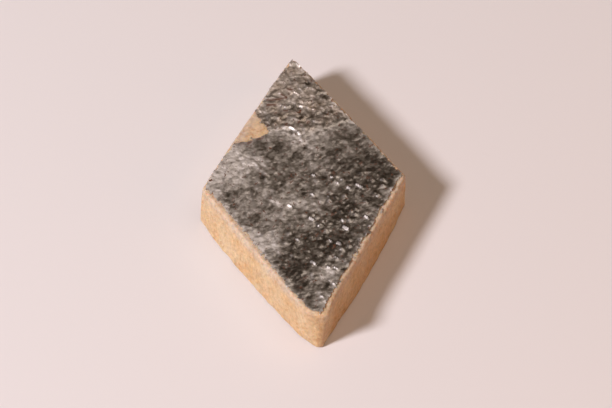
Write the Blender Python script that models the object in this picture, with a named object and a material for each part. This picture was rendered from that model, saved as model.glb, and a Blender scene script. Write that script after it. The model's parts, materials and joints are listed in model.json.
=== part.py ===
# One diamond-shaped piece of cashew fudge with a sheet of edible silver leaf on top.
# Metres, +Z up. The long diagonal lies along Y and the near tip points to -Y. The origin is on
# the surface that the piece rests on, under the middle of its bounding box.

import math

import bmesh
import bpy
from mathutils import Vector, noise

# Plan of the diamond at its top, before its corners are rounded. The side corners lie a little
# past the middle, towards the far tip.
LONG_DIAGONAL = 0.0679
SHORT_DIAGONAL = 0.0404
LEFT_CORNER_PAST_MIDDLE = 0.0010
RIGHT_CORNER_PAST_MIDDLE = 0.0012
SIDE_LENGTH = math.hypot(LONG_DIAGONAL, SHORT_DIAGONAL) / 2
WIDTH_ACROSS = LONG_DIAGONAL * SHORT_DIAGONAL / 2 / SIDE_LENGTH

# Paste body, rolled flat and cut with a knife. Each cut side bows outwards, a little at the top
# and more at the foot, and the left corner spreads at the foot as well.
SLAB_HEIGHT = 0.0092
TOP_SWELL = 0.0002
FOOT_SWELL = 0.0009
LEFT_FOOT_SPREAD = Vector((-0.0007, -0.0006))
CORNER_RADIUS = 0.0010
RIM_RADIUS = 0.0006
ROUNDING_SEGMENTS = 3
CORNER_ANGLE = math.radians(30)
RIM_ANGLE = math.radians(65)
SIDE_CELLS = 32
HEIGHT_CELLS = 6
LUMP_SIZE = 0.009
LUMP_DEPTH = 0.00016
GRAIN_SIZE = 0.0028
GRAIN_DEPTH = 0.00006
FLAT_BELOW = 0.00002

# Silver leaf, laid on the paste and torn along its far left edge
LEAF_GAP = 0.0003
LEAF_THICKNESS = 0.0002
LEAF_CELLS = 32
NEAR_LEFT_MARGIN = 0.0013
NEAR_RIGHT_MARGIN = 0.0007
FAR_LEFT_MARGIN = 0.0006
FAR_RIGHT_MARGIN = 0.0007
RAGGEDNESS = 0.0003
RAG_SIZE = 0.0042
WRINKLE_SIZE = 0.004
WRINKLE_HEIGHT = 0.00008

# The bare patch, as shares of the far left side, measured from the left corner
TEAR_START = 0.31
TEAR_DEEPEST = 0.55
TEAR_END = 0.585
TEAR_DEPTH = 0.135

# Two curved creases in the leaf, each the centre and the radius of its arc. They are highest
# towards the upper right and run out on both sides.
FAR_CREASE = (Vector((-0.0020, 0.0118)), 0.0031)
LEFT_CREASE = (Vector((-0.0105, 0.0013)), 0.0045)
CREASE_WIDTH = 0.0010
CREASE_HEIGHT = 0.00020
CREASE_HEADING = Vector((0.50, 0.87))
CREASE_RUNS_OUT = 0.6

PASTE_COLOUR = (0.80, 0.54, 0.31, 1.0)
SILVER_COLOUR = (0.46, 0.42, 0.39, 1.0)


def clear_scene():
    for thing in list(bpy.data.objects):
        bpy.data.objects.remove(thing, do_unlink=True)


def make_material(name, colour, roughness, metallic):
    material = bpy.data.materials.new(name)
    material.use_nodes = True
    shader = material.node_tree.nodes["Principled BSDF"]
    shader.inputs["Base Color"].default_value = colour
    shader.inputs["Roughness"].default_value = roughness
    shader.inputs["Metallic"].default_value = metallic
    material.diffuse_color = colour
    return material


def on_diamond(right_share, left_share, depth=0):
    # The point reached from the near tip by a share of the near right side and one of the near
    # left side, blended between the four corners so that opposite sides need not be parallel.
    # The depth is 0 at the top and 1 at the foot.
    near = Vector((0, -LONG_DIAGONAL / 2))
    far = Vector((0, LONG_DIAGONAL / 2))
    left = Vector((-SHORT_DIAGONAL / 2, LEFT_CORNER_PAST_MIDDLE)) + depth * LEFT_FOOT_SPREAD
    right = Vector((SHORT_DIAGONAL / 2, RIGHT_CORNER_PAST_MIDDLE))
    near_edge = near.lerp(right, right_share)
    far_edge = left.lerp(far, right_share)
    spot = near_edge.lerp(far_edge, left_share)

    # Each side pushes the half of the diamond next to it outwards, in a bow along its length
    swell = TOP_SWELL + (FOOT_SWELL - TOP_SWELL) * depth
    outwards = Vector((LONG_DIAGONAL, SHORT_DIAGONAL)).normalized()
    bow = 4 * swell * left_share * (1 - left_share) * (2 * right_share - 1)
    other_bow = 4 * swell * right_share * (1 - right_share) * (2 * left_share - 1)
    return spot + bow * outwards + other_bow * Vector((-outwards.x, outwards.y))


def relief(point):
    # Soft lumps left by rolling, with the grain of the ground nuts on them
    lumps = noise.noise(point / LUMP_SIZE) * LUMP_DEPTH
    grain = noise.noise(point / GRAIN_SIZE) * GRAIN_DEPTH
    return lumps + grain


def edges_along(mesh, axis):
    # Edges of a box-shaped mesh that run along one axis
    def runs(edge):
        way = edge.verts[1].co - edge.verts[0].co
        return abs(way[axis]) > 0.999 * way.length

    return [edge for edge in mesh.edges if runs(edge)]


def add_object(name, mesh, material):
    data = bpy.data.meshes.new(name)
    mesh.to_mesh(data)
    mesh.free()
    data.materials.append(material)
    thing = bpy.data.objects.new(name, data)
    bpy.context.scene.collection.objects.link(thing)
    return thing


def round_off(mesh, edges, radius):
    segments = ROUNDING_SEGMENTS
    bmesh.ops.bevel(mesh, geom=edges, offset=radius, segments=segments, profile=0.5, affect="EDGES")
    mesh.normal_update()


def build_slab(material):
    # A box of grid cells is mapped onto the diamond, its edges are rounded, and the relief is
    # then pushed out along the normals. The foot stays flat.
    mesh = bmesh.new()
    bmesh.ops.create_cube(mesh, size=1)
    for axis, cells in enumerate((SIDE_CELLS, SIDE_CELLS, HEIGHT_CELLS)):
        bmesh.ops.subdivide_edges(mesh, edges=edges_along(mesh, axis), cuts=cells - 1)
    for vertex in mesh.verts:
        share = vertex.co + Vector((0.5, 0.5, 0.5))
        spot = on_diamond(share.x, share.y, 1 - share.z)
        vertex.co = (spot.x, spot.y, share.z * SLAB_HEIGHT)

    mesh.normal_update()
    sharp = [edge for edge in mesh.edges if edge.calc_face_angle() > CORNER_ANGLE]
    upright = [edge for edge in sharp if edge.verts[0].co.z != edge.verts[1].co.z]
    round_off(mesh, upright, CORNER_RADIUS)
    round_off(mesh, [edge for edge in mesh.edges if edge.calc_face_angle() > RIM_ANGLE], RIM_RADIUS)
    moves = [(vertex, vertex.normal * relief(vertex.co)) for vertex in mesh.verts]
    for vertex, move in moves:
        if vertex.co.z < FLAT_BELOW:
            move.z = 0
        vertex.co += move
    return add_object("cashew_slab", mesh, material)


def margin(width, share):
    # How far the leaf stops short of a side, as a share of the diamond. The line is ragged, and
    # the width picks the row of the noise.
    rag = noise.noise(Vector((share * SIDE_LENGTH / RAG_SIZE, width / RAGGEDNESS, 0)))
    return (width + RAGGEDNESS * rag) / WIDTH_ACROSS


def tear(share):
    # Depth of the bare patch at a share of the far left side: a slanted triangle
    if TEAR_START < share <= TEAR_DEEPEST:
        return TEAR_DEPTH * (share - TEAR_START) / (TEAR_DEEPEST - TEAR_START)
    if TEAR_DEEPEST < share < TEAR_END:
        return TEAR_DEPTH * (TEAR_END - share) / (TEAR_END - TEAR_DEEPEST)
    return 0


def crease(spot, arc):
    # Height of a crease at a plan position: a rounded ridge along part of a circle
    centre, radius = arc
    offset = spot - centre
    across = (offset.length - radius) / CREASE_WIDTH
    along = offset.normalized().dot(CREASE_HEADING)
    if abs(across) > 1 or along < CREASE_RUNS_OUT:
        return 0
    fade = (along - CREASE_RUNS_OUT) / (1 - CREASE_RUNS_OUT)
    return CREASE_HEIGHT * fade * (1 - across * across) ** 2


def leaf_height(spot):
    # The leaf follows the top of the paste at the usual gap. Wrinkles only rise from there.
    base = SLAB_HEIGHT + relief(Vector((spot.x, spot.y, SLAB_HEIGHT))) + LEAF_GAP
    wrinkle = abs(noise.noise(Vector((spot.x, spot.y, 1)) / WRINKLE_SIZE)) * WRINKLE_HEIGHT
    return base + wrinkle + crease(spot, FAR_CREASE) + crease(spot, LEFT_CREASE)


def build_leaf(material):
    # A grid drawn in from the four sides of the diamond, laid over the paste and thickened
    mesh = bmesh.new()
    bmesh.ops.create_grid(mesh, x_segments=LEAF_CELLS, y_segments=LEAF_CELLS, size=0.5)
    for vertex in mesh.verts:
        right_share = vertex.co.x + 0.5
        left_share = vertex.co.y + 0.5
        low = margin(NEAR_LEFT_MARGIN, left_share)
        high = 1 - margin(FAR_RIGHT_MARGIN, left_share)
        near = margin(NEAR_RIGHT_MARGIN, right_share)
        far = 1 - margin(FAR_LEFT_MARGIN, right_share) - tear(right_share)
        spot = on_diamond(low + (high - low) * right_share, near + (far - near) * left_share)
        vertex.co = (spot.x, spot.y, leaf_height(spot))
    bmesh.ops.triangulate(mesh, faces=mesh.faces[:])
    leaf = add_object("silver_leaf", mesh, material)
    thicken = leaf.modifiers.new("Leaf thickness", "SOLIDIFY")
    thicken.thickness = LEAF_THICKNESS
    thicken.offset = 1
    return leaf


def centre_on_floor(things):
    # Moves the mesh points so that the box round them all is centred on the origin in plan
    vertices = [vertex for thing in things for vertex in thing.data.vertices]
    low = Vector([min(vertex.co[axis] for vertex in vertices) for axis in range(2)])
    high = Vector([max(vertex.co[axis] for vertex in vertices) for axis in range(2)])
    middle = ((low + high) / 2).to_3d()
    for vertex in vertices:
        vertex.co -= middle


def main():
    clear_scene()
    paste = make_material("Cashew paste", PASTE_COLOUR, 0.62, 0.0)
    silver = make_material("Silver leaf", SILVER_COLOUR, 0.32, 1.0)
    slab = build_slab(paste)
    leaf = build_leaf(silver)
    centre_on_floor([slab, leaf])
    for thing in (slab, leaf):
        thing.data.shade_smooth()
        thing.data.set_sharp_from_angle(angle=0.7)


main()
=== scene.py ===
import json
import math

import bpy
import numpy as np
from mathutils import Matrix

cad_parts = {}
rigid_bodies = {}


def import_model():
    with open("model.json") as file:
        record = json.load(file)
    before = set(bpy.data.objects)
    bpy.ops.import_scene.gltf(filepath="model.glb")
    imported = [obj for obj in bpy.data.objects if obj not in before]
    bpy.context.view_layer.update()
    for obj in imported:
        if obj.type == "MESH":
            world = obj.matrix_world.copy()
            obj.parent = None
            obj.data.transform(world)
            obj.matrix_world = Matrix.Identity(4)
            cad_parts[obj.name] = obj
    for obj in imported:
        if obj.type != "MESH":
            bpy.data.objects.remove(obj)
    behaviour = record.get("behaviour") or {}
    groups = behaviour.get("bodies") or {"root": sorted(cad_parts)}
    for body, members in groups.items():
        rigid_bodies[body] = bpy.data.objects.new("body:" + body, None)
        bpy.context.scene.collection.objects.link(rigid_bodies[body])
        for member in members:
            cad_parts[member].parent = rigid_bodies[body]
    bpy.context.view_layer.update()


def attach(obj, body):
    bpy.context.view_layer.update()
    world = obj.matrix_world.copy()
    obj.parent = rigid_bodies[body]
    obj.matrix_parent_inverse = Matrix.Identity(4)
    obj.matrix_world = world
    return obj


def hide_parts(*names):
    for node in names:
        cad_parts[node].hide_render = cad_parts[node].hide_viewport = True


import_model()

# One diamond-cut slice of cashew barfi under a torn sheet of silver leaf. Lengths in the
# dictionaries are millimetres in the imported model's frame, and the meshes are in metres.
mm = 0.001


# Helpers for meshes, noise and nodes

def meshPiece(name, points, faces, material, attributes=None):
    # points is N x 3 in mm. Each face is a row of 4 indices, and a 4th index of -1 marks a triangle.
    mesh = bpy.data.meshes.new(name)
    sizes = np.where(faces[:, 3] < 0, 3, 4)
    order = faces.ravel()
    order = order[order >= 0]
    mesh.vertices.add(len(points))
    mesh.vertices.foreach_set("co", (points * mm).astype(np.float32).ravel())
    mesh.loops.add(len(order))
    mesh.loops.foreach_set("vertex_index", order.astype(np.int32))
    mesh.polygons.add(len(faces))
    starts = np.concatenate(([0], np.cumsum(sizes)[:-1]))
    mesh.polygons.foreach_set("loop_start", starts.astype(np.int32))
    mesh.update(calc_edges=True)
    mesh.validate()
    mesh.shade_smooth()
    mesh.set_sharp_from_angle(angle=math.radians(60))
    for key, values in (attributes or {}).items():
        layer = mesh.attributes.new(key, "FLOAT", "POINT")
        layer.data.foreach_set("value", values.astype(np.float32))
    mesh.materials.append(material)
    thing = bpy.data.objects.new(name, mesh)
    bpy.context.scene.collection.objects.link(thing)
    return thing


def smoothStep(low, high, value):
    # 0 up to low and 1 from high on, with 3t^2 - 2t^3 between. It falls if high is below low.
    t = np.clip((value - low) / (high - low), 0, 1)
    return t * t * (3 - 2 * t)


def latticeHash(i, j, k, seed):
    # Whole-number mixing: three lattice indices and a seed give 32 well-scrambled bits
    mixed = (i * 374761393 + j * 668265263 + k * 1442695041 + seed * 1013904223) & 0xFFFFFFFF
    mixed = ((mixed ^ (mixed >> 13)) * 1274126177) & 0xFFFFFFFF
    mixed = ((mixed ^ (mixed >> 16)) * 2246822519) & 0xFFFFFFFF
    return mixed ^ (mixed >> 15)


def softNoise(x, y, z, seed):
    # Gradient noise: at each corner of the unit cell round the point, a random slope times the way
    # from that corner, blended by the smooth fade 6t^5 - 15t^4 + 10t^3 on each axis. About -1 to 1.
    spots = [np.asarray(v, float) for v in np.broadcast_arrays(x, y, z)]
    cells = [np.floor(v).astype(np.int64) for v in spots]
    parts = [v - c for v, c in zip(spots, cells)]
    fades = [t * t * t * (t * (t * 6 - 15) + 10) for t in parts]
    total = np.zeros_like(parts[0])
    for corner in range(8):
        step = [(corner >> axis) & 1 for axis in range(3)]
        bits = latticeHash(cells[0] + step[0], cells[1] + step[1], cells[2] + step[2], seed)
        weight = 1.0
        dot = 0.0
        for axis in range(3):
            slope = ((bits >> (10 * axis)) & 1023) / 511.5 - 1
            dot = dot + slope * (parts[axis] - step[axis])
            weight = weight * (fades[axis] if step[axis] else 1 - fades[axis])
        total += weight * dot
    return total * 1.35


def solidNoise(x, y, z, size, seed):
    # softNoise in space, its waves about as long as the size
    return softNoise(x / size, y / size, z / size, seed)


def planNoise(x, y, size, level, seed):
    # The same over the plan alone, on a cut through the noise at this level
    return softNoise(x / size, y / size, level, seed)


def noiseLayers(x, y, rows, level, seed):
    # Sum of plan noises, one for each row of size and depth
    total = 0 * x
    for number, (size, depth) in enumerate(rows):
        total = total + depth * planNoise(x, y, size, level, seed + number)
    return total


def facetNoise(x, y, seed):
    # Crumpled foil: random heights at the corners of a lattice of equal triangles, joined by flat
    # faces. Inside a triangle the height is linear, so it has flat facets and sharp creases. -1 to 1.
    u = x - y / math.sqrt(3)
    v = 2 * y / math.sqrt(3)
    i = np.floor(u).astype(np.int64)
    j = np.floor(v).astype(np.int64)
    fu = u - i
    fv = v - j

    def corner(a, b):
        return (latticeHash(i + a, j + b, 0 * i, seed) & 0xFFFF) / 32767.5 - 1

    lower = corner(0, 0) * (1 - fu - fv) + corner(1, 0) * fu + corner(0, 1) * fv
    upper = corner(1, 1) * (fu + fv - 1) + corner(0, 1) * (1 - fu) + corner(1, 0) * (1 - fv)
    return np.where(fu + fv < 1, lower, upper)


def scatteredBumps(x, y, spacing, radius, least, rounded, seed):
    # One bump at a random place in each square of a lattice, with a random size from least to 1, few
    # of them large, that scales its height and some of its radius: the greatest of the nine bumps
    # round the point. With c falling from 1 at the middle to 0 at the radius, a pointed bump is c and
    # a rounded one c(2 - c).
    i = np.floor(x / spacing).astype(np.int64)
    j = np.floor(y / spacing).astype(np.int64)
    best = 0 * x
    for step in range(9):
        a, b = i + step % 3 - 1, j + step // 3 - 1
        bits = latticeHash(a, b, 0 * a, seed)
        fromX = x - (a + (bits & 255) / 255) * spacing
        fromY = y - (b + ((bits >> 8) & 255) / 255) * spacing
        size = least + (1 - least) * (((bits >> 16) & 255) / 255) ** 2
        c = np.clip(1 - np.hypot(fromX, fromY) / (radius * (0.65 + 0.55 * size)), 0, 1)
        best = np.maximum(best, size * c * (2 - c if rounded else 1))
    return best


def strokes(x, y, rows):
    # Short straight marks, each given by its two ends and half its width: 1 on the mark, falling
    # smoothly to 0 a little way outside it
    best = 0 * x
    for x0, y0, x1, y1, half in rows:
        way = np.array([x1 - x0, y1 - y0])
        t = np.clip(((x - x0) * way[0] + (y - y0) * way[1]) / (way @ way), 0, 1)
        away = np.hypot(x - x0 - t * way[0], y - y0 - t * way[1])
        best = np.maximum(best, smoothStep(1.6 * half, 0.5 * half, away))
    return best


def linearColour(code):
    # sRGB hex such as "#e8c39a" to linear RGBA
    parts = [int(code[k:k + 2], 16) / 255 for k in (1, 3, 5)]
    return tuple(c / 12.92 if c <= 0.04045 else ((c + 0.055) / 1.055) ** 2.4 for c in parts) + (1.0,)


def addNode(tree, kind, settings=None, links=None):
    # Settings name a property of the node or one of its sockets, and links name an input socket
    node = tree.nodes.new(kind)
    for key, value in (settings or {}).items():
        if isinstance(key, str) and hasattr(node, key):
            setattr(node, key, value)
        else:
            node.inputs[key].default_value = value
    for key, source in (links or {}).items():
        tree.links.new(source, node.inputs[key])
    return node


def emptyMaterial(name):
    material = bpy.data.materials.new(name)
    material.use_nodes = True
    material.node_tree.nodes.clear()
    return material, material.node_tree


# Camera and lights

view = {
    "azimuth": -4.2,      # degrees round to the right from the near tip
    "elevation": 51.4,
    "distance": 739,
    "aim": (0.6, 0.4, 3.2),
    "lens": 220,
    "sensor": 36,
}

light = {
    "target": (0, 0, 5),
    "keyFrom": (-0.70, -0.30, 0.64),      # window light from the left
    "keyDistance": 1200,
    "keySize": 272,
    "keyPower": 15.8,
    "keyColour": "#fff4f5",
    "topPlace": (260, 60, 800),      # soft light from the ceiling
    "topSize": 620,
    "topPower": 1.3,
    "topColour": "#ffeedd",
    "cardFrom": (0.80, -0.45, 0.42),      # a warm reflector on the shaded side
    "cardDistance": 500,
    "cardSize": 420,
    "cardPower": 0.48,
    "cardColour": "#ffa258",
    "roomColour": "#ffdcba",
    "roomStrength": 0.13,
}


def direction(azimuth, elevation):
    # Unit vector from the piece back to the camera, with azimuth 0 in front of the near tip
    a, e = math.radians(azimuth), math.radians(elevation)
    return np.array([math.sin(a) * math.cos(e), -math.cos(a) * math.cos(e), math.sin(e)])


def placeAlong(way, distance):
    # The place at this distance from the middle of the foot, in the way's direction
    return np.array(way) / np.linalg.norm(way) * distance


def aimAt(thing, place, target):
    # Puts a camera or light at a place in mm, not straight above its target, with its -Z axis
    # towards the target
    place, target = np.array(place, float), np.array(target, float)
    back = (place - target) / np.linalg.norm(place - target)
    side = np.cross((0, 0, 1), back)
    side /= np.linalg.norm(side)
    matrix = np.eye(4)
    matrix[:3, :3] = np.array([side, np.cross(back, side), back]).T
    matrix[:3, 3] = place * mm
    thing.matrix_world = Matrix(matrix.tolist())


def addCamera():
    camera = bpy.data.cameras.new("camera")
    camera.lens = view["lens"]
    camera.sensor_width = view["sensor"]
    camera.clip_start = 0.05
    camera.clip_end = 20
    thing = bpy.data.objects.new("camera", camera)
    bpy.context.scene.collection.objects.link(thing)
    target = np.array(view["aim"])
    back = direction(view["azimuth"], view["elevation"])
    aimAt(thing, target + view["distance"] * back, target)
    bpy.context.scene.camera = thing


def addAreaLight(name, place, size, power, colour):
    lamp = bpy.data.lights.new(name, "AREA")
    lamp.shape = "DISK"
    lamp.size = size * mm
    lamp.energy = power
    lamp.color = linearColour(colour)[:3]
    thing = bpy.data.objects.new(name, lamp)
    bpy.context.scene.collection.objects.link(thing)
    aimAt(thing, place, light["target"])
    return thing


def addLights():
    place = placeAlong(light["keyFrom"], light["keyDistance"])
    addAreaLight("keyLight", place, light["keySize"], light["keyPower"], light["keyColour"])
    place = light["topPlace"]
    addAreaLight("topLight", place, light["topSize"], light["topPower"], light["topColour"])
    place = placeAlong(light["cardFrom"], light["cardDistance"])
    card = addAreaLight("warmCard", place, light["cardSize"], light["cardPower"], light["cardColour"])
    card.visible_glossy = False      # it warms the paste's shaded side and doesn't show in the silver
    world = bpy.data.worlds.new("dimWarmRoom")
    world.use_nodes = True
    tree = world.node_tree
    tree.nodes.clear()
    room = addNode(tree, "ShaderNodeBackground", {
        "Color": linearColour(light["roomColour"]), "Strength": light["roomStrength"],
    })
    addNode(tree, "ShaderNodeOutputWorld", None, {"Surface": room.outputs[0]})
    bpy.context.scene.world = world
    bpy.context.scene.view_settings.view_transform = "Standard"


# Plan of the diamond

diamond = {
    # Corners of the cut before they are rounded: near, right, far and left
    "corners": ((0.28, -33.96), (20.48, 1.19), (0.28, 33.94), (-19.92, 0.99)),
    "leftFootSpread": (-0.7, -0.6),      # the foot of the left corner is pressed outwards
    "topBow": 0.2,      # how far the sides bow out between the corners
    "footBow": 0.9,
    "cornerRadius": 1.0,
    "rimRadius": 0.6,
    "footRadius": 0.5,
    "height": 9.26,
}
corners = np.array(diamond["corners"])
alongs = np.roll(corners, -1, axis=0) - corners      # side k runs from corner k to corner k + 1
sideLengths = np.linalg.norm(alongs, axis=1)
alongs /= sideLengths[:, None]
outwards = np.stack([alongs[:, 1], -alongs[:, 0]], axis=1)
before = np.roll(outwards, 1, axis=0)      # outward direction of the side before each corner
cornerCosines = np.sum(before * outwards, axis=1)[:, None]
innerCorners = corners - diamond["cornerRadius"] * (before + outwards) / (1 + cornerCosines)


def outlinePath(perSide, perCorner):
    # The diamond with rounded corners is an inner diamond pushed outwards by the corner radius. Each
    # sample has its inner point, its outward direction, its bow weight 4t(1 - t) along the side, and
    # its share of the left corner's spread.
    points, ways, bows, spreads = [], [], [], []
    for k in range(4):
        turn = np.arange(perCorner) / perCorner
        start, end = np.arctan2(*before[k][::-1]), np.arctan2(*outwards[k][::-1])
        angle = start + turn * ((end - start) % (2 * np.pi))
        points.append(np.repeat(innerCorners[k][None], perCorner, axis=0))
        ways.append(np.stack([np.cos(angle), np.sin(angle)], axis=1))
        bows.append(0 * turn)
        spreads.append(np.full(perCorner, float(k == 3)))
        t = np.arange(perSide) / perSide
        points.append(innerCorners[k] + t[:, None] * (innerCorners[(k + 1) % 4] - innerCorners[k]))
        ways.append(np.repeat(outwards[k][None], perSide, axis=0))
        bows.append(4 * t * (1 - t))
        spreads.append(t if k == 2 else 1 - t if k == 3 else 0 * t)
    return [np.concatenate(v) for v in (points, ways, bows, spreads)]


# The knife pushed the near corner over to the right and back, most of all at the top
nose = {
    "topShift": (1.8, 1.2),
    "footShift": (0.5, 0.3),
    "alongRight": 5.0,      # how far along each of the two near sides the shift reaches
    "alongLeft": 2.5,
}


def noseShift(x, y, z):
    # Shift of a plan point at height z. Its place is written as so far along the near right side and
    # so far along the near left side from the near corner, and the shift fades as exp(-r^2 - l^2),
    # r and l in the reaches above.
    fromX, fromY = x - corners[0][0], y - corners[0][1]
    (rightX, rightY), (leftX, leftY) = alongs[0], -alongs[3]
    turn = rightX * leftY - rightY * leftX
    alongRight = (fromX * leftY - fromY * leftX) / turn
    alongLeft = (rightX * fromY - rightY * fromX) / turn
    share = np.exp(-(alongRight / nose["alongRight"]) ** 2 - (alongLeft / nose["alongLeft"]) ** 2)
    up = z / diamond["height"]
    ends = zip(nose["footShift"], nose["topShift"])
    return [share * (foot + (top - foot) * up) for foot, top in ends]


def outsideInner(x, y):
    # Distance of plan points from the inner diamond, 0 inside it: the least to any of its four sides
    spots = np.stack([x, y], axis=-1)
    best = np.full(x.shape, np.inf)
    inside = np.ones(x.shape, bool)
    for k in range(4):
        start, end = innerCorners[k], innerCorners[(k + 1) % 4]
        way = end - start
        t = np.clip((spots - start) @ way / (way @ way), 0, 1)
        nearest = start + t[..., None] * way
        best = np.minimum(best, np.linalg.norm(spots - nearest, axis=-1))
        inside &= (spots - start) @ outwards[k] < 0
    return np.where(inside, 0, best)


# Body of cashew paste

paste = {
    # Size and depth of the relief's layers: soft waves left by the rolling pin, dents the size of
    # coarse nut grains, and the grain itself
    "relief": ((8.5, 0.13), (2.6, 0.055), (0.95, 0.024)),
    "pitSize": 1.15,      # small pits that the knife tears open in the cut sides
    "pitDepth": 0.18,
    "pitEdge": (0.30, 0.62),      # the noise at a pit's edge and where it is deepest
    "dragSpacing": 0.7,      # faint upright marks of the knife
    "dragLength": 7,
    "dragDepth": 0.030,
    "footRag": 0.30,      # the knife drags the foot in and out by a slow ripple
    "footRagSize": 2.4,
    "footRagReach": 0.9,
    "footFlat": 1.5,      # below this the underside's relief fades out
    "chipSize": 0.9,      # crumbs broken out of the rim
    "chipDepth": 0.16,
    "chipReach": (0.7, 0.6),      # how far down the side and how far in over the top
    "rimShadeDepth": (2.6, 0.3),      # how far below the top the painted shade that greys the paste starts and is full
    "rimShadeOnTop": (0.35, 1.0),      # what is left of it on the top, and how far in the rest reaches
    "topReach": 16,      # roughly from the top's rim to its middle, to measure those reaches by
    "rimShadePatches": (1.5, 0.9, 0.6),      # size, mean and swing of the patches in it
    "lessRimShadeAtCorner": (5.0, 0.8),      # reach and share of the place at the near corner with less of that painted shade
    "perSide": 150,
    "perCorner": 11,
    "rows": (38, 10, 42),      # rows of points up the sides, round the rim and over the top
    "pale": "#d1b894",
    "warm": "#caa577",
    "paintedRimShading": "#bfb5ab",
    "nutSkin": "#b27c4b",
    "cloudSize": 5,
    "nutGrain": 0.85,      # grains of ground nut, and flecks of their skin, as they show in colour
    "nutFleck": 0.8,
    "cutGrain": 0.6,      # coarse grain of the cut sides, as it shows in the gloss
    "cutGrainDepth": 0.34,
}


def pasteRelief(x, y, z):
    # Height of the paste's skin: layers of gradient noise, each finer and shallower
    height = 0 * x
    for number, (size, depth) in enumerate(paste["relief"]):
        height = height + depth * solidNoise(x, y, z, size, 11 + number)
    return height


def pasteProfile():
    # Flat underside, rounded foot, upright side, rounded rim and flat top. Each row has an offset from
    # the inner diamond, a scale towards the middle, a height, and the normal's tilt in degrees: -90
    # underneath, 0 on the sides and 90 on top. The rows on top lie closer together near the rim.
    radius, rim, foot = (diamond[k] for k in ("cornerRadius", "rimRadius", "footRadius"))
    height = diamond["height"]
    sideRows, rimRows, topRows = paste["rows"]
    rows = [(0, s, 0, -90) for s in (0.02, 0.3, 0.6, 0.85, 1)]
    rows += [(radius - foot + foot * math.sin(a), 1, foot - foot * math.cos(a), math.degrees(a) - 90)
             for a in np.linspace(0, math.pi / 2, 5)]
    rows += [(radius, 1, z, 0) for z in np.linspace(foot, height - rim, sideRows)[1:-1]]
    rows += [(radius - rim + rim * math.cos(a), 1, height - rim + rim * math.sin(a), math.degrees(a))
             for a in np.linspace(0, math.pi / 2, rimRows)]
    rows += [(q, 1, height, 90) for q in np.linspace(radius - rim, 0, 4)[1:]]
    rows += [(0, 1 - 0.985 * t ** 1.4, height, 90) for t in np.linspace(0, 1, topRows)[1:]]
    return np.array(rows).T[:, :, None]


def ringFaces(rings, count):
    # Skin over closed rings of points, from the lowest ring to the last: quads between the rings and
    # a fan of triangles at each end, round two poles whose points come after the rings
    index = np.arange(rings * count).reshape(rings, count)
    following = np.roll(index, -1, axis=1)
    quads = np.stack([index[:-1], following[:-1], following[1:], index[1:]], axis=-1)
    lowPole, highPole, none = (np.full(count, k) for k in (rings * count, rings * count + 1, -1))
    under = np.stack([lowPole, following[0], index[0], none], axis=1)
    over = np.stack([highPole, index[-1], following[-1], none], axis=1)
    return np.concatenate([quads.reshape(-1, 4), under, over])


def paintedRimShadeShare(x, y, z, fromRim):
    # How much painted shade greys the paste, 0 to 1 and a little more: it rises towards the rim and
    # fades over the top, in patches, and less of it is at the near corner
    starts, full = paste["rimShadeDepth"]
    onTop, inwards = paste["rimShadeOnTop"]
    size, mean, swing = paste["rimShadePatches"]
    reach, share = paste["lessRimShadeAtCorner"]
    height = diamond["height"]
    paintedRimShade = smoothStep(height - starts, height - full, z)
    paintedRimShade = paintedRimShade * (onTop + (1 - onTop) * np.exp(-(fromRim / inwards) ** 2))
    paintedRimShade = paintedRimShade * np.clip(mean + swing * solidNoise(x, y, z, size, 17), 0, mean + swing)
    fromCorner = (x - corners[0][0]) ** 2 + (y - corners[0][1]) ** 2
    return paintedRimShade * (1 - share * np.exp(-fromCorner / reach ** 2))


def buildPaste(material):
    # The profile carried round the outline, with the relief pushed out along the tilted normal
    offset, scale, level, tilt = pasteProfile()
    inner, way, bow, spread = outlinePath(paste["perSide"], paste["perCorner"])
    middle = innerCorners.mean(axis=0)
    height = diamond["height"]
    depth = 1 - level / height
    swell = diamond["topBow"] + (diamond["footBow"] - diamond["topBow"]) * depth
    plan = []
    for axis in range(2):
        ring = inner[:, axis] + (offset + swell * bow) * way[:, axis]
        ring = ring + depth * spread * diamond["leftFootSpread"][axis]
        plan.append(middle[axis] + (ring - middle[axis]) * scale)
    x, y = plan
    z = level + 0 * x
    shiftX, shiftY = noseShift(x, y, z)
    x, y = x + shiftX, y + shiftY
    tilt = np.radians(tilt)
    cut = np.cos(tilt) + 0 * x      # 1 on the cut sides, 0 on top and underneath

    relief = pasteRelief(x, y, z)
    pits = smoothStep(*paste["pitEdge"], solidNoise(x, y, z, paste["pitSize"], 15))
    spacing = paste["dragSpacing"]
    drag = softNoise(x / spacing, y / spacing, z / paste["dragLength"], 16)
    relief = relief + cut * (paste["dragDepth"] * drag - paste["pitDepth"] * pits)
    fromRim = np.where(scale < 1, paste["topReach"] * (1 - scale), 0) + 0 * z
    down, inwards = paste["chipReach"]
    chips = np.maximum(solidNoise(x, y, z, paste["chipSize"], 18), 0)
    atRim = np.exp(-((height - z) / down) ** 2 - (fromRim / inwards) ** 2)
    relief = relief - paste["chipDepth"] * chips * atRim
    ripple = planNoise(x, y, paste["footRagSize"], 0.5, 14)
    relief = relief + np.exp(-z / paste["footRagReach"]) * paste["footRag"] * ripple * cut
    x = x + relief * cut * way[:, 0]
    y = y + relief * cut * way[:, 1]
    z = np.maximum(z + relief * np.sin(tilt) * smoothStep(0, paste["footFlat"], z), 0)

    rings, count = x.shape
    points = np.stack([x.ravel(), y.ravel(), z.ravel()], axis=1)
    points = np.concatenate([points, [[*middle, 0], [*middle, z[-1].mean()]]])
    finish = {"paintedRimShade": paintedRimShadeShare(x, y, z, fromRim), "cut": cut}
    finish = {key: np.append(values.ravel(), [0, 0]) for key, values in finish.items()}
    return meshPiece("cashewPaste", points, ringFaces(rings, count), material, finish)


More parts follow.
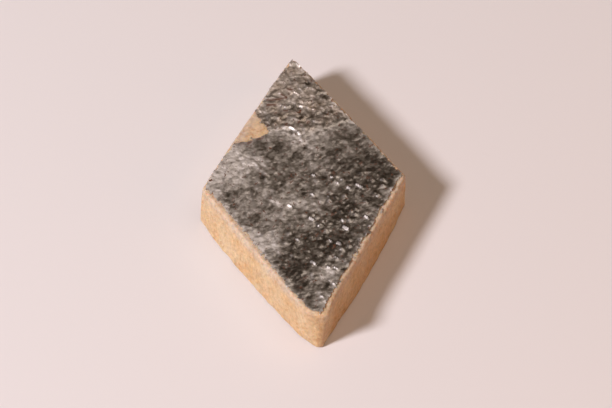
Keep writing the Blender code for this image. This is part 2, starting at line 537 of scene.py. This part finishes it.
def cashewPasteMaterial():
    # Cooked, kneaded and rolled paste of ground cashews, sugar and a little ghee: pale cream, faintly
    # see-through and matte, with soft warm clouds and fine flecks of nut skin
    material, tree = emptyMaterial("rolled cashew paste")
    place = addNode(tree, "ShaderNodeTexCoord").outputs["Object"]
    clouds = addNode(tree, "ShaderNodeTexNoise", {
        "Scale": 1 / (paste["cloudSize"] * mm), "Detail": 3.0, "Roughness": 0.55,
    }, {"Vector": place})
    base = addNode(tree, "ShaderNodeValToRGB", None, {"Fac": clouds.outputs["Fac"]})
    for end, position, key in zip(base.color_ramp.elements, (0.32, 0.70), ("pale", "warm")):
        end.position = position
        end.color = linearColour(paste[key])
    # Painted shade: towards the rim the paste is greyed and a little darkened, in patches
    paintedRimShade = addNode(tree, "ShaderNodeAttribute", {"attribute_name": "paintedRimShade"}).outputs["Fac"]
    rimShadeAmount = addNode(tree, "ShaderNodeMath", {"operation": "MULTIPLY", 1: 0.60}, {0: paintedRimShade})
    paintedRimShading = addNode(tree, "ShaderNodeMix", {
        "data_type": "RGBA", 7: linearColour(paste["paintedRimShading"]),
    }, {0: rimShadeAmount.outputs[0], 6: base.outputs["Color"]})
    # Ground nut: paler and darker grains side by side
    grains = addNode(tree, "ShaderNodeTexNoise", {
        "Scale": 1 / (paste["nutGrain"] * mm), "Detail": 2.0, "Roughness": 0.6,
    }, {"Vector": place})
    grainShade = addNode(tree, "ShaderNodeMapRange", {
        "From Min": 0.3, "From Max": 0.7, "To Min": 0.85, "To Max": 1.17,
    }, {"Value": grains.outputs["Fac"]})
    grainy = addNode(tree, "ShaderNodeVectorMath", {"operation": "SCALE"}, {
        0: paintedRimShading.outputs[2], "Scale": grainShade.outputs["Result"],
    })
    flecks = addNode(tree, "ShaderNodeTexNoise", {
        "Scale": 1 / (paste["nutFleck"] * mm), "Detail": 2.0,
    }, {"Vector": place})
    fleckShare = addNode(tree, "ShaderNodeMapRange", {
        "From Min": 0.57, "From Max": 0.68, "To Min": 0.0, "To Max": 0.42,
    }, {"Value": flecks.outputs["Fac"]})
    colour = addNode(tree, "ShaderNodeMix", {
        "data_type": "RGBA", 7: linearColour(paste["nutSkin"]),
    }, {0: fleckShare.outputs["Result"], 6: grainy.outputs["Vector"]})
    # The cut sides show the coarse grain, and the rolled top is smoother
    coarse = addNode(tree, "ShaderNodeTexNoise", {
        "Scale": 1 / (paste["cutGrain"] * mm), "Detail": 4.0, "Roughness": 0.6,
    }, {"Vector": place})
    cut = addNode(tree, "ShaderNodeAttribute", {"attribute_name": "cut"}).outputs["Fac"]
    depth = addNode(tree, "ShaderNodeMapRange", {"To Min": 0.2, "To Max": 1.0}, {"Value": cut})
    bump = addNode(tree, "ShaderNodeBump", {"Distance": paste["cutGrainDepth"] * mm}, {
        "Height": coarse.outputs["Fac"], "Strength": depth.outputs["Result"],
    })
    sheen = addNode(tree, "ShaderNodeMapRange", {
        "From Min": 0.3, "From Max": 0.7, "To Min": 0.42, "To Max": 0.60,
    }, {"Value": coarse.outputs["Fac"]})
    shader = addNode(tree, "ShaderNodeBsdfPrincipled", {
        "IOR": 1.45,
        "Subsurface Weight": 0.45,
        "Subsurface Radius": (1.0, 0.5, 0.25),
        "Subsurface Scale": 1.6 * mm,
    }, {
        "Base Color": colour.outputs[2],
        "Roughness": sheen.outputs["Result"],
        "Normal": bump.outputs["Normal"],
    })
    addNode(tree, "ShaderNodeOutputMaterial", None, {"Surface": shader.outputs[0]})
    return material


# Sheet of silver leaf. The near half is the half towards the near tip, and so on.

leaf = {
    "cells": 218,
    "gap": 0.05,
    "thickness": 0.03,
    "lift": 0.06,      # keeps the dips of the relief off the paste
    # In quarters from the tip to the side corner, along the near right, far right, far left and near
    # left: the width of the bare rim, and how much lighter the leaf is towards the rim, where it frays
    # and where a painted highlight stands for the lit rim
    "margins": ((0.60, 0.80, 1.05, 1.10, 1.05), (0.55, 0.55, 0.55, 0.55, 0.55),
                (0.30, 0.30, 0.30, 0.30, 0.30), (0.85, 0.45, 1.00, 1.15, 0.80)),
    "edgeLight": ((0.28, 0.14, 0.30, 0.44, 0.36), (0.24, 0.16, 0.42, 0.26, 0.06),
                  (0.32, 0.46, 0.40, 0.40, 0.40), (0.42, 0.42, 0.42, 0.50, 0.48)),
    "edgeFade": (1.1, 0.7, 1.1, 0.7),      # how far in from each of the four rims it is lighter
    "nearEnd": -30.95,      # the leaf stops bluntly before the near tip
    "ragged": ((4.0, 0.30), (1.4, 0.36), (0.6, 0.34)),      # size and depth of the torn line's waves
    "fleckReach": 0.75,      # loose flecks lie up to this far beyond the torn edge
    "fleckInset": 0.45,      # and at least this far in from the cut sides
    "fleckSize": 0.62,
    "fleckLevel": 0.30,      # a lower level leaves more of them
    # The bare patch is a wedge from its tip to a place on each of its two torn lines
    "tearTip": (-5.4, 14.1),
    "tearUpper": (-7.9, 19.6),
    "tearLower": (-13.6, 11.6),
    "tearSag": (0.5, 8),      # depth and length of the lower line's sag
    "tearRag": 0.8,      # how much of the ragged waves the two lines have
    "tearShift": 0.25,
    "bend": (2.2, 0.9),      # size and depth of the slow noise that bends the creases
    "facets": ((5.2, 0.085), (2.2, 0.038), (1.0, 0.030), (0.52, 0.015)),      # size and height
    "ridges": ((3.0, 0.030), (1.3, 0.030)),
    "ridgeSharpness": 3.2,
    "grains": (0.72, 0.50, 0.095),      # spacing, radius and height of nut grains felt through it
    "grainShare": (0.62, 0.2),      # how much of that height is there when calm, and what is added
    "peaks": (1.50, 0.70, 0.40),      # spacing, radius and height of small peaks strewn all over
    "peakShare": (0.08, 0.92),
    # Grains and peaks are livelier towards the near right side. From calm to lively: across the
    # slice, coming from the far tip, and coming from the near tip, where this share is left.
    "livelyRight": (-6, 10),
    "livelyFromFar": (8, -1),
    "livelyFromNear": (-26, -12),
    "livelyNearTip": 0.15,
    # The flap of leaf at the far tip overlaps the rest. Its edge is an arch with this top and bend,
    # much flatter on the left, and from its end on a straight line up to the far right side.
    "flapTop": (-1.6, 14.6),
    "flapBend": 0.35,
    "flapBendLeft": 0.05,      # share of that bend
    "flapBendReach": 9,      # farther left than this the edge runs level
    "flapEnd": (0.9, 12.4),
    "flapSlope": 0.42,
    "flapRag": 0.5,      # how much of the ragged waves it has
    "flapRise": 0.09,      # its height over the rest
    "flapLumps": (1.1, 0.09),      # size and height of the softer lumps on it
    "flapCalm": 0.3,      # how much of the rest of the relief it loses
    "flapRidges": 3.2,      # how much stronger the ridges are on it
    "flapStain": (2.4, 0.45, 0.6),      # size, mean and swing of its brownish clouds
    # Creases and curls along arcs: middle, radius, heading, reach to both sides, half width, height
    "creases": ((-3.1, 11.6, 3.75, 45, 62, 0.62, 0.27), (-3.4, 10.9, 3.3, 60, 50, 0.50, 0.14),
                (-11.8, 1.7, 5.1, 62, 85, 0.90, 0.17), (-12.6, 3.4, 4.4, 80, 60, 0.60, 0.10),
                (-0.9, 24.9, 0.8, 80, 130, 0.42, 0.13), (0.5, 19.7, 0.9, 20, 140, 0.44, 0.15),
                (0.5, 17.7, 1.0, -70, 130, 0.42, 0.13), (-2.6, 17.5, 0.9, -110, 120, 0.42, 0.12),
                (-3.6, 20.9, 1.0, 0, 75, 0.40, 0.12), (-1.8, 21.3, 0.9, 0, 75, 0.40, 0.12),
                (0.4, 22.4, 1.0, 15, 75, 0.44, 0.13), (-0.5, 20.5, 4.2, 5, 45, 0.40, 0.09)),
    "creaseWander": (1.5, 0.14),      # size, and depth as a share of the radius
    "creaseBreaks": (0.9, 0.8, 1.1),      # size, mean and swing of what is left of the height
    # Splits in the flap, painted dark brown as shade: both ends and half the width
    "splitsInShade": ((-5.5, 22.5, -1.9, 22.5, 0.26), (-1.8, 22.8, -2.8, 23.8, 0.20),
               (-5.4, 21.1, -3.9, 21.0, 0.22), (-1.2, 25.1, -0.6, 24.9, 0.28),
               (-2.6, 19.4, -1.8, 19.3, 0.22)),
    "hem": (0.35, 0.34, 4),      # splits below the bare patch, painted dark as shade: distance, half width, length of fade
    # Small dimples, dented and painted dark as shade: middle and radius
    "dimples": ((2.8, 26.3, 0.50), (6.2, 22.3, 0.60), (0.6, 20.0, 0.46), (-2.4, 17.4, 0.50),
                (0.6, 17.6, 0.55), (-1.4, 13.8, 0.50), (4.6, 9.5, 0.50), (-7.9, 2.6, 0.50),
                (-4.5, 0.4, 0.60), (-5.1, 5.9, 0.40), (-14.9, -1.1, 0.50), (1.0, 9.7, 0.45),
                (0.1, -1.9, 0.50), (7.8, -5.1, 0.60), (6.9, -6.1, 0.50), (8.7, -15.7, 0.40),
                (2.9, -24.5, 0.50), (-1.0, -27.3, 0.45), (6.2, -21.0, 0.50), (-1.1, -23.4, 0.60)),
    "dimpleDepth": 0.10,
    "dimplePaintedShade": 0.45,
    # Short pleats across the near right edge, where the leaf was pressed over the rim
    "pleatSpacing": 0.9,
    "pleatLength": 4.0,
    "pleatHeight": 0.16,
    "pleatFade": 1.1,
    # Little folds that catch the window light: place, half width and length of the face that does
    "glints": ((-3.0, -4.9, 0.52, 0.44), (0.9, -8.6, 0.58, 0.66), (-2.2, -13.5, 0.44, 0.58),
               (7.4, -11.2, 0.68, 0.66), (7.0, -9.3, 0.30, 0.44), (4.2, -14.1, 0.34, 0.48),
               (5.8, -14.9, 0.50, 0.64), (1.6, -2.3, 0.40, 0.44), (2.2, 2.5, 0.38, 0.48),
               (6.7, 0.2, 0.34, 0.42), (8.8, -1.3, 0.44, 0.55), (10.9, -1.0, 0.80, 0.58),
               (5.7, 1.8, 0.30, 0.40), (4.7, -3.2, 0.28, 0.38), (11.6, -8.8, 0.46, 0.58),
               (3.4, -20.6, 0.44, 0.40), (4.8, -20.9, 0.50, 0.40), (0.5, -19.3, 0.64, 0.55),
               (4.1, -24.7, 0.34, 0.40), (1.6, -27.6, 0.40, 0.46), (5.1, -18.3, 0.40, 0.34),
               (0.3, 23.6, 0.60, 0.50)),
    "glintFacing": (-0.63, -0.78),
    "glintSlope": 0.71,
    "glintBack": 0.4,      # length of the steep back, as a share of the face's
    "glintEnds": 0.15,      # how far a fold slopes off at its two ends
    "glintCalm": 0.8,      # how much of the rest of the relief is flattened on a fold
    "tone": 0.40,      # how light the leaf is, with the size and depth of the waves in that
    "toneWaves": ((4.2, 0.22), (1.7, 0.10)),
    # Middle, radius and amount of the places painted lighter or darker: painted reflection and shade
    "paintedLightAndShade": ((0.3, 23, 8.0, 0.36), (-14.8, 5.0, 5.5, 0.50), (3.9, -21.3, 2.0, 0.36),
               (-7.2, -13.2, 2.5, 0.56), (-4.4, -4.8, 3.6, 0.36), (-1.2, 12.4, 3.0, 0.38),
               (-10.2, 7.2, 3.0, 0.34), (-10.9, -10.4, 2.3, 0.24), (2.4, 12.8, 2.2, 0.18),
               (15.8, 0.2, 1.7, -0.30), (-15.2, -4.6, 2.0, 0.18), (8.2, 19.6, 1.3, 0.30),
               (1.9, -6.2, 2.4, 0.36), (3.6, 11.2, 2.4, 0.32), (2.0, -28.4, 1.8, 0.18),
               (3.5, 25.6, 2.0, -0.26), (16.2, 3.2, 3.8, -0.30), (10.8, 5.0, 4.5, -0.18),
               (-3.4, -21.6, 3.2, -0.36), (9.0, -8.5, 6.0, -0.28), (-2.4, -14.2, 3.4, -0.36),
               (12.7, -4.3, 2.2, -0.26), (-1.8, 19.2, 2.6, -0.24), (6.4, -20.6, 1.6, -0.20),
               (-5.2, 7.4, 2.8, -0.22), (4.3, -14.9, 3.4, -0.24), (3.5, -10.3, 1.5, -0.20),
               (5.8, 15.6, 2.4, -0.18)),
    "dark": "#6c6865",
    "bright": "#f7f4f3",
    "stain": "#ebdfd2",
    "pasteInPaintedShade": "#5c3d2c",
    "speckleSize": 1.1,
    "pinholeSize": 0.8,
    "crinkleSize": 0.55,      # the finest crinkles, coarser than the real ones so that they show
    "crinkleDepth": 0.07,
}
quarters = np.linspace(0, 1, 5)
# Between opposite sides: the area of the diamond over the length of a side
acrossWidth = abs(np.cross(corners[1] - corners[0], corners[3] - corners[0])) / sideLengths[0]


def arcRidge(x, y, arc, seed):
    # A crease along part of a circle: height falls off both ways as (1 - d^2)^2 from the circle's
    # line, d in half widths, and runs out along it with the angle from its heading. Noise makes the
    # line wander and the height come and go.
    cx, cy, radius, heading, reach, half, height = arc
    size, depth = leaf["creaseWander"]
    away = np.hypot(x - cx, y - cy)
    across = (away + depth * radius * planNoise(x, y, size, 0.5, seed) - radius) / half
    turn = np.abs((np.degrees(np.arctan2(y - cy, x - cx)) - heading + 180) % 360 - 180)
    size, mean, swing = leaf["creaseBreaks"]
    broken = np.clip(mean + swing * planNoise(x, y, size, 0.5, seed + 20), 0.2, 1)
    profile = np.clip(1 - across * across, 0, 1) ** 2
    return height * broken * profile * smoothStep(reach, 0.4 * reach, turn)


def placedFolds(x, y):
    # The folds that catch the light: each has a flat face that rises at one slope to its ridge, and a
    # steep back. Returns their height, and 1 on them and 0 off them, for calming the rest.
    height, calm = 0 * x, 0 * x
    facingX, facingY = leaf["glintFacing"]
    for cx, cy, half, length in leaf["glints"]:
        down = ((x - cx) * facingX + (y - cy) * facingY) / length + 0.5
        sideways = np.abs((x - cx) * facingY - (y - cy) * facingX)
        ends = (half - sideways) / leaf["glintEnds"] + 1
        roof = np.minimum(1 - down, 1 + down / leaf["glintBack"])
        fold = np.clip(np.minimum(roof, ends), 0, 1)
        height = np.maximum(height, leaf["glintSlope"] * length * fold)
        calm = np.maximum(calm, smoothStep(0, 0.3, fold))
    return height, calm


def tearSides(x, y):
    # Distances past the upper and the lower torn line, both positive in the bare patch
    tip, upper, lower = (np.array(leaf[k]) for k in ("tearTip", "tearUpper", "tearLower"))
    upperWay = (upper - tip) / np.linalg.norm(upper - tip)
    lowerWay = (lower - tip) / np.linalg.norm(lower - tip)
    pastUpper = upperWay[0] * (y - tip[1]) - upperWay[1] * (x - tip[0])
    pastLower = -(lowerWay[0] * (y - tip[1]) - lowerWay[1] * (x - tip[0]))
    depth, length = leaf["tearSag"]
    sag = depth * np.sin(np.clip((tip[0] - x) / length, 0, 1) * np.pi)
    return pastUpper, pastLower + sag


def flapEdge(x):
    # The flap's edge as y over x: a parabola, steep on its right and nearly flat on its left, and
    # then a straight line
    topX, topY = leaf["flapTop"]
    endX, endY = leaf["flapEnd"]
    side = np.where(x > topX, 1, leaf["flapBendLeft"])
    arch = topY - leaf["flapBend"] * np.maximum(x - topX, -leaf["flapBendReach"]) ** 2 * side
    return np.where(x < endX, arch, endY + leaf["flapSlope"] * (x - endX))


def leafTone(x, y, pastRims, shares, dips):
    # How light the leaf is, 0 to 1: slow noise, a soft spot exp(-r^2) for each of the places painted
    # lighter or darker as painted reflection and shade, painted shade in the dimples, and a lighter
    # band along the frayed rims with a painted highlight, which fades inwards as exp(-d)
    tone = leaf["tone"] + noiseLayers(x, y, leaf["toneWaves"], 0.9, 46)
    for cx, cy, radius, amount in leaf["paintedLightAndShade"]:
        reach = np.hypot(x - cx, y - cy) / radius
        tone = tone + amount * np.exp(-reach * reach)
    # painted shade in the dimples
    tone = tone - leaf["dimplePaintedShade"] * dips
    for past, share, lighter, fade in zip(pastRims, shares, leaf["edgeLight"], leaf["edgeFade"]):
        tone = tone + np.interp(share, quarters, lighter) * np.exp(-np.maximum(past, 0) / fade)
    return np.clip(tone, 0, 1)


def leafMap(x, y, a, b):
    # Everything the leaf needs at plan points: where there is leaf, its height over the paste, and
    # the values that its material reads. From 0 to 1, a runs from the near left side to the far right
    # one and b from the near right side to the far left one. Lists of four go by the near right, far
    # right, far left and near left side.
    rag = noiseLayers(x, y, leaf["ragged"], 0.3, 30)
    distances = [share * acrossWidth for share in (b, 1 - a, 1 - b, a)]
    shares = (a, 1 - b, 1 - a, b)
    pastRims = [distance - np.interp(share, quarters, margins)
                for distance, share, margins in zip(distances, shares, leaf["margins"])]
    pastUpper, pastLower = tearSides(x, y)
    inTear = np.minimum(pastUpper, pastLower) + leaf["tearRag"] * rag
    fromEdge = np.minimum(np.min(pastRims, axis=0), y - leaf["nearEnd"]) + rag
    fromEdge = np.minimum(fromEdge, leaf["tearShift"] - inTear)
    fleck = planNoise(x, y, leaf["fleckSize"], 0.6, 38) > leaf["fleckLevel"]
    fleck &= (fromEdge > -leaf["fleckReach"]) & (np.min(distances, axis=0) > leaf["fleckInset"])
    covered = (fromEdge > 0) | fleck

    # Facets, with the lattice bent by slow noise so that no two creases are parallel, and each
    # layer turned by about another radian
    size, depth = leaf["bend"]
    bendX, bendY = (depth * planNoise(x, y, size, 0.7, seed) for seed in (41, 42))
    height = 0 * x
    for number, (size, depth) in enumerate(leaf["facets"]):
        turn = 0.6 + 1.1 * number
        px = (x + bendX) * math.cos(turn) - (y + bendY) * math.sin(turn)
        py = (x + bendX) * math.sin(turn) + (y + bendY) * math.cos(turn)
        height = height + depth * facetNoise(px / size, py / size, 50 + number)

    # Nut grains, under all of the leaf
    left = leaf["livelyNearTip"]
    lively = smoothStep(*leaf["livelyRight"], x - 0.5 * y) * smoothStep(*leaf["livelyFromFar"], y)
    lively = lively * (left + (1 - left) * smoothStep(*leaf["livelyFromNear"], y))
    spacing, radius, rise = leaf["grains"]
    grains = scatteredBumps(x, y, spacing, radius, least=0.35, rounded=True, seed=71)
    calmShare, added = leaf["grainShare"]
    height = height + rise * (calmShare + added * lively) * grains

    # The flap at the far tip: a step up to it, then calmer relief with lumps and stronger ridges
    beyond = y - flapEdge(x) + leaf["flapRag"] * rag
    height = height + leaf["flapRise"] * smoothStep(-0.15, 0.25, beyond)
    onFlap = smoothStep(0, 2, beyond)
    size, depth = leaf["flapLumps"]
    lumps = depth * onFlap * planNoise(x, y, size, 0.5, 53)
    height = height * (1 - leaf["flapCalm"] * onFlap) + lumps
    for number, (size, depth) in enumerate(leaf["ridges"]):
        wave = np.abs(planNoise(x + bendX, y + bendY, size, 0.2, 60 + number))
        ridge = np.clip(1 - wave * leaf["ridgeSharpness"], 0, 1) ** 2
        height = height + (1 + leaf["flapRidges"] * onFlap) * depth * ridge
    for number, crease in enumerate(leaf["creases"]):
        height = height + arcRidge(x, y, crease, 80 + number)

    # Pleats, which follow the near right side and fade inwards from its rim
    s = (x - corners[0][0]) * alongs[0][0] + (y - corners[0][1]) * alongs[0][1]
    pleats = softNoise(s / leaf["pleatSpacing"], distances[0] / leaf["pleatLength"], 0.4, 45)
    fade = np.exp(-np.maximum(pastRims[0], 0) / leaf["pleatFade"])
    height = height + leaf["pleatHeight"] * pleats * fade

    # Strewn peaks, then the folds that are placed, then the dimples, each a dip of exp(-r^2)
    spacing, radius, rise = leaf["peaks"]
    peaks = scatteredBumps(x, y, spacing, radius, least=0.0, rounded=False, seed=49)
    calmShare, added = leaf["peakShare"]
    height = height + rise * peaks * (calmShare + added * lively)
    folds, calm = placedFolds(x, y)
    height = height * (1 - leaf["glintCalm"] * calm) + folds
    dips = 0 * x
    for cx, cy, radius in leaf["dimples"]:
        dips = dips + np.exp(-((x - cx) ** 2 + (y - cy) ** 2) / radius ** 2)
    height = height - leaf["dimpleDepth"] * dips

    # Brownish clouds on the flap, and splits painted dark as shade: the placed ones, bent as the
    # facets are, and a dotted line of them just below the bare patch
    size, mean, swing = leaf["flapStain"]
    brown = smoothStep(-0.5, 1.5, beyond) * (mean + swing * planNoise(x, y, size, 0.1, 48))
    below, half, fade = leaf["hem"]
    fromLower = pastLower + leaf["tearRag"] * rag
    hem = np.exp(-((fromLower + below) / half) ** 2) * (x < leaf["tearTip"][0])
    hem = hem * smoothStep(leaf["tearLower"][0], leaf["tearLower"][0] + fade, x)
    dotted = smoothStep(-0.15, 0.2, planNoise(x, y, 0.9, 0.4, 52))
    placed = strokes(x + 0.5 * bendX, y + 0.5 * bendY, leaf["splitsInShade"])
    return covered, height, {
        "tone": leafTone(x, y, pastRims, shares, dips),
        "brown": np.clip(brown, 0, 1),
        "splitInShade": np.maximum(placed, hem * dotted),
        "calm": calm,
    }


def leafRest(x, y):
    # Height of the paste under the leaf: the flat top, falling away round the rim's quarter circle.
    # Taking the near corner's shift off twice leads back to where the paste was before it moved.
    radius, rim, height = (diamond[k] for k in ("cornerRadius", "rimRadius", "height"))
    shiftX, shiftY = noseShift(x, y, height)
    shiftX, shiftY = noseShift(x - shiftX, y - shiftY, height)
    past = outsideInner(x - shiftX, y - shiftY) - diamond["topBow"] - (radius - rim)
    past = np.clip(past, 0, rim * 0.95)      # short of where the quarter circle stands upright
    return height - rim + np.sqrt(rim * rim - past * past) + pasteRelief(x, y, height + 0 * x)


def buildLeaf(material):
    # A grid over the whole diamond, its sides bowed out as the paste's are. Only the covered cells
    # are kept, with a second skin below them and a wall round every torn edge.
    n = leaf["cells"] + 1
    steps = np.linspace(0, 1, n)
    a, b = np.meshgrid(steps, steps, indexing="ij")
    near, right, far, left = corners
    x, y = [(1 - b) * ((1 - a) * near[k] + a * right[k]) + b * ((1 - a) * left[k] + a * far[k])
            for k in range(2)]
    pushA = 4 * diamond["topBow"] * b * (1 - b) * (2 * a - 1)
    pushB = 4 * diamond["topBow"] * a * (1 - a) * (2 * b - 1)
    x = x + pushA * outwards[1][0] + pushB * outwards[2][0]
    y = y + pushA * outwards[1][1] + pushB * outwards[2][1]
    covered, height, finish = leafMap(x, y, a, b)
    lifted = np.maximum(height + leaf["lift"], 0)
    z = leafRest(x, y) + leaf["gap"] + leaf["thickness"] + lifted

    cell = covered[:-1, :-1] & covered[1:, :-1] & covered[:-1, 1:] & covered[1:, 1:]
    for _ in range(3):      # cells that only touch at a corner are joined by a third
        onlyRising = cell[:-1, :-1] & cell[1:, 1:] & ~cell[1:, :-1] & ~cell[:-1, 1:]
        onlyFalling = cell[1:, :-1] & cell[:-1, 1:] & ~cell[:-1, :-1] & ~cell[1:, 1:]
        cell[1:, :-1] |= onlyRising
        cell[:-1, :-1] |= onlyFalling
    skin = n * n      # from a point of the upper skin to the one below it
    index = np.arange(skin).reshape(n, n)
    quads = np.stack([index[:-1, :-1], index[1:, :-1], index[1:, 1:], index[:-1, 1:]], axis=-1)
    top = quads[cell]
    bottom = top[:, ::-1] + skin
    padded = np.pad(cell, 1)
    walls = []
    # For each side of a cell: the step to the cell beside it, and the two corners of that side
    for da, db, p, q in ((0, -1, 0, 1), (1, 0, 1, 2), (0, 1, 2, 3), (-1, 0, 3, 0)):
        beside = padded[1 + da:n + da, 1 + db:n + db]
        torn = quads[cell & ~beside]
        wall = [torn[:, q], torn[:, p], torn[:, p] + skin, torn[:, q] + skin]
        walls.append(np.stack(wall, axis=1))
    faces = np.concatenate([top, bottom] + walls)
    points = np.stack([x.ravel(), y.ravel(), z.ravel()], axis=1)
    points = np.concatenate([points, points - [0, 0, leaf["thickness"]]])
    used, faces = np.unique(faces, return_inverse=True)
    finish = {key: np.tile(values.ravel(), 2)[used] for key, values in finish.items()}
    return meshPiece("silverLeaf", points[used], faces.reshape(-1, 4), material, finish)


def silverLeafMaterial():
    # Silver beaten to a skin and laid on by hand: a grey mirror broken up by countless tiny crinkles,
    # dull and dark where it faces the room and white where a crinkle faces the window
    material, tree = emptyMaterial("beaten silver leaf")
    place = addNode(tree, "ShaderNodeTexCoord").outputs["Object"]
    tone, brown, splitInShade, calm = (
        addNode(tree, "ShaderNodeAttribute", {"attribute_name": name}).outputs["Fac"]
        for name in ("tone", "brown", "splitInShade", "calm"))
    speckle = addNode(tree, "ShaderNodeTexNoise", {
        "Scale": 1 / (leaf["speckleSize"] * mm), "Detail": 2.0, "Roughness": 0.5,
    }, {"Vector": place})
    speckleShift = addNode(tree, "ShaderNodeMath", {
        "operation": "MULTIPLY_ADD", 1: 1.5, 2: -0.75,
    }, {0: speckle.outputs["Fac"]})
    shade = addNode(tree, "ShaderNodeMath", {"operation": "ADD"}, {
        0: tone, 1: speckleShift.outputs[0],
    })
    # The tone carries painted reflection and painted shade besides the leaf's own variation
    silver = addNode(tree, "ShaderNodeValToRGB", None, {"Fac": shade.outputs[0]})
    for end, key in zip(silver.color_ramp.elements, ("dark", "bright")):
        end.color = linearColour(leaf[key])
    stained = addNode(tree, "ShaderNodeMix", {
        "data_type": "RGBA", "blend_type": "MULTIPLY", 7: linearColour(leaf["stain"]),
    }, {0: brown, 6: silver.outputs["Color"]})
    # Splits, pinholes and hairline cracks, where the paste shows, in painted shade of the leaf's edge
    holes = addNode(tree, "ShaderNodeTexNoise", {
        "Scale": 1 / (leaf["pinholeSize"] * mm), "Detail": 3.0, "Roughness": 0.6, "Distortion": 1.0,
    }, {"Vector": place})
    pinholes = addNode(tree, "ShaderNodeMapRange", {
        "From Min": 0.60, "From Max": 0.66, "To Min": 0.0, "To Max": 1.0,
    }, {"Value": holes.outputs["Fac"]})
    bare = addNode(tree, "ShaderNodeMath", {"operation": "MAXIMUM"}, {
        0: pinholes.outputs["Result"], 1: splitInShade,
    }).outputs[0]
    colour = addNode(tree, "ShaderNodeMix", {
        "data_type": "RGBA", 7: linearColour(leaf["pasteInPaintedShade"]),
    }, {0: bare, 6: stained.outputs[2]})
    metal = addNode(tree, "ShaderNodeMapRange", {"To Min": 1.0, "To Max": 0.1}, {"Value": bare})
    # The folds that catch the light have fewer crinkles and a soft edge to their glint
    crinkle = addNode(tree, "ShaderNodeTexNoise", {
        "Scale": 1 / (leaf["crinkleSize"] * mm), "Detail": 1.0, "Roughness": 0.45, "Distortion": 0.3,
    }, {"Vector": place})
    crinkled = addNode(tree, "ShaderNodeMapRange", {"To Min": 1.0, "To Max": 0.3}, {"Value": calm})
    bump = addNode(tree, "ShaderNodeBump", {"Distance": leaf["crinkleDepth"] * mm}, {
        "Height": crinkle.outputs["Fac"], "Strength": crinkled.outputs["Result"],
    })
    dull = addNode(tree, "ShaderNodeMapRange", {
        "From Min": 0.2, "From Max": 1.0, "To Min": 0.32, "To Max": 0.60,
    }, {"Value": shade.outputs[0]})
    softer = addNode(tree, "ShaderNodeMath", {"operation": "MULTIPLY", 1: 0.62}, {0: calm})
    rough = addNode(tree, "ShaderNodeMath", {"operation": "MAXIMUM"}, {
        0: dull.outputs["Result"], 1: softer.outputs[0],
    })
    shader = addNode(tree, "ShaderNodeBsdfPrincipled", None, {
        "Metallic": metal.outputs["Result"],
        "Base Color": colour.outputs[2],
        "Roughness": rough.outputs[0],
        "Normal": bump.outputs["Normal"],
    })
    addNode(tree, "ShaderNodeOutputMaterial", None, {"Surface": shader.outputs[0]})
    return material


# Floor

table = {
    "reach": 3000,      # far wider than any view
    "drop": 0.02,      # just below the slice's foot
    "colour": "#e2e2e6",
    "peelSize": 3,
    "peelDepth": 0.05,
}


def tableMaterial():
    # A board painted in pale matte paint, rolled on: even and cool, with a faint orange peel
    material, tree = emptyMaterial("pale painted board")
    place = addNode(tree, "ShaderNodeTexCoord").outputs["Object"]
    peel = addNode(tree, "ShaderNodeTexNoise", {
        "Scale": 1 / (table["peelSize"] * mm), "Detail": 2.0,
    }, {"Vector": place})
    bump = addNode(tree, "ShaderNodeBump", {
        "Strength": 0.1, "Distance": table["peelDepth"] * mm,
    }, {"Height": peel.outputs["Fac"]})
    shader = addNode(tree, "ShaderNodeBsdfPrincipled", {
        "Base Color": linearColour(table["colour"]), "Roughness": 0.6,
    }, {"Normal": bump.outputs["Normal"]})
    addNode(tree, "ShaderNodeOutputMaterial", None, {"Surface": shader.outputs[0]})
    return material


def buildTable(material):
    # One flat quad
    ends = ((-1, -1), (1, -1), (1, 1), (-1, 1))
    points = np.array([(table["reach"] * x, table["reach"] * y, -table["drop"]) for x, y in ends])
    return meshPiece("paleTable", points, np.array([[0, 1, 2, 3]]), material)


addCamera()
addLights()
print("camera and lights placed")

buildTable(tableMaterial())

pasteBody = buildPaste(cashewPasteMaterial())
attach(pasteBody, "root")
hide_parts("cashew_slab")
print("paste body:", len(pasteBody.data.polygons), "faces")

silverSheet = buildLeaf(silverLeafMaterial())
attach(silverSheet, "root")
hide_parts("silver_leaf")
print("silver leaf:", len(silverSheet.data.polygons), "faces")
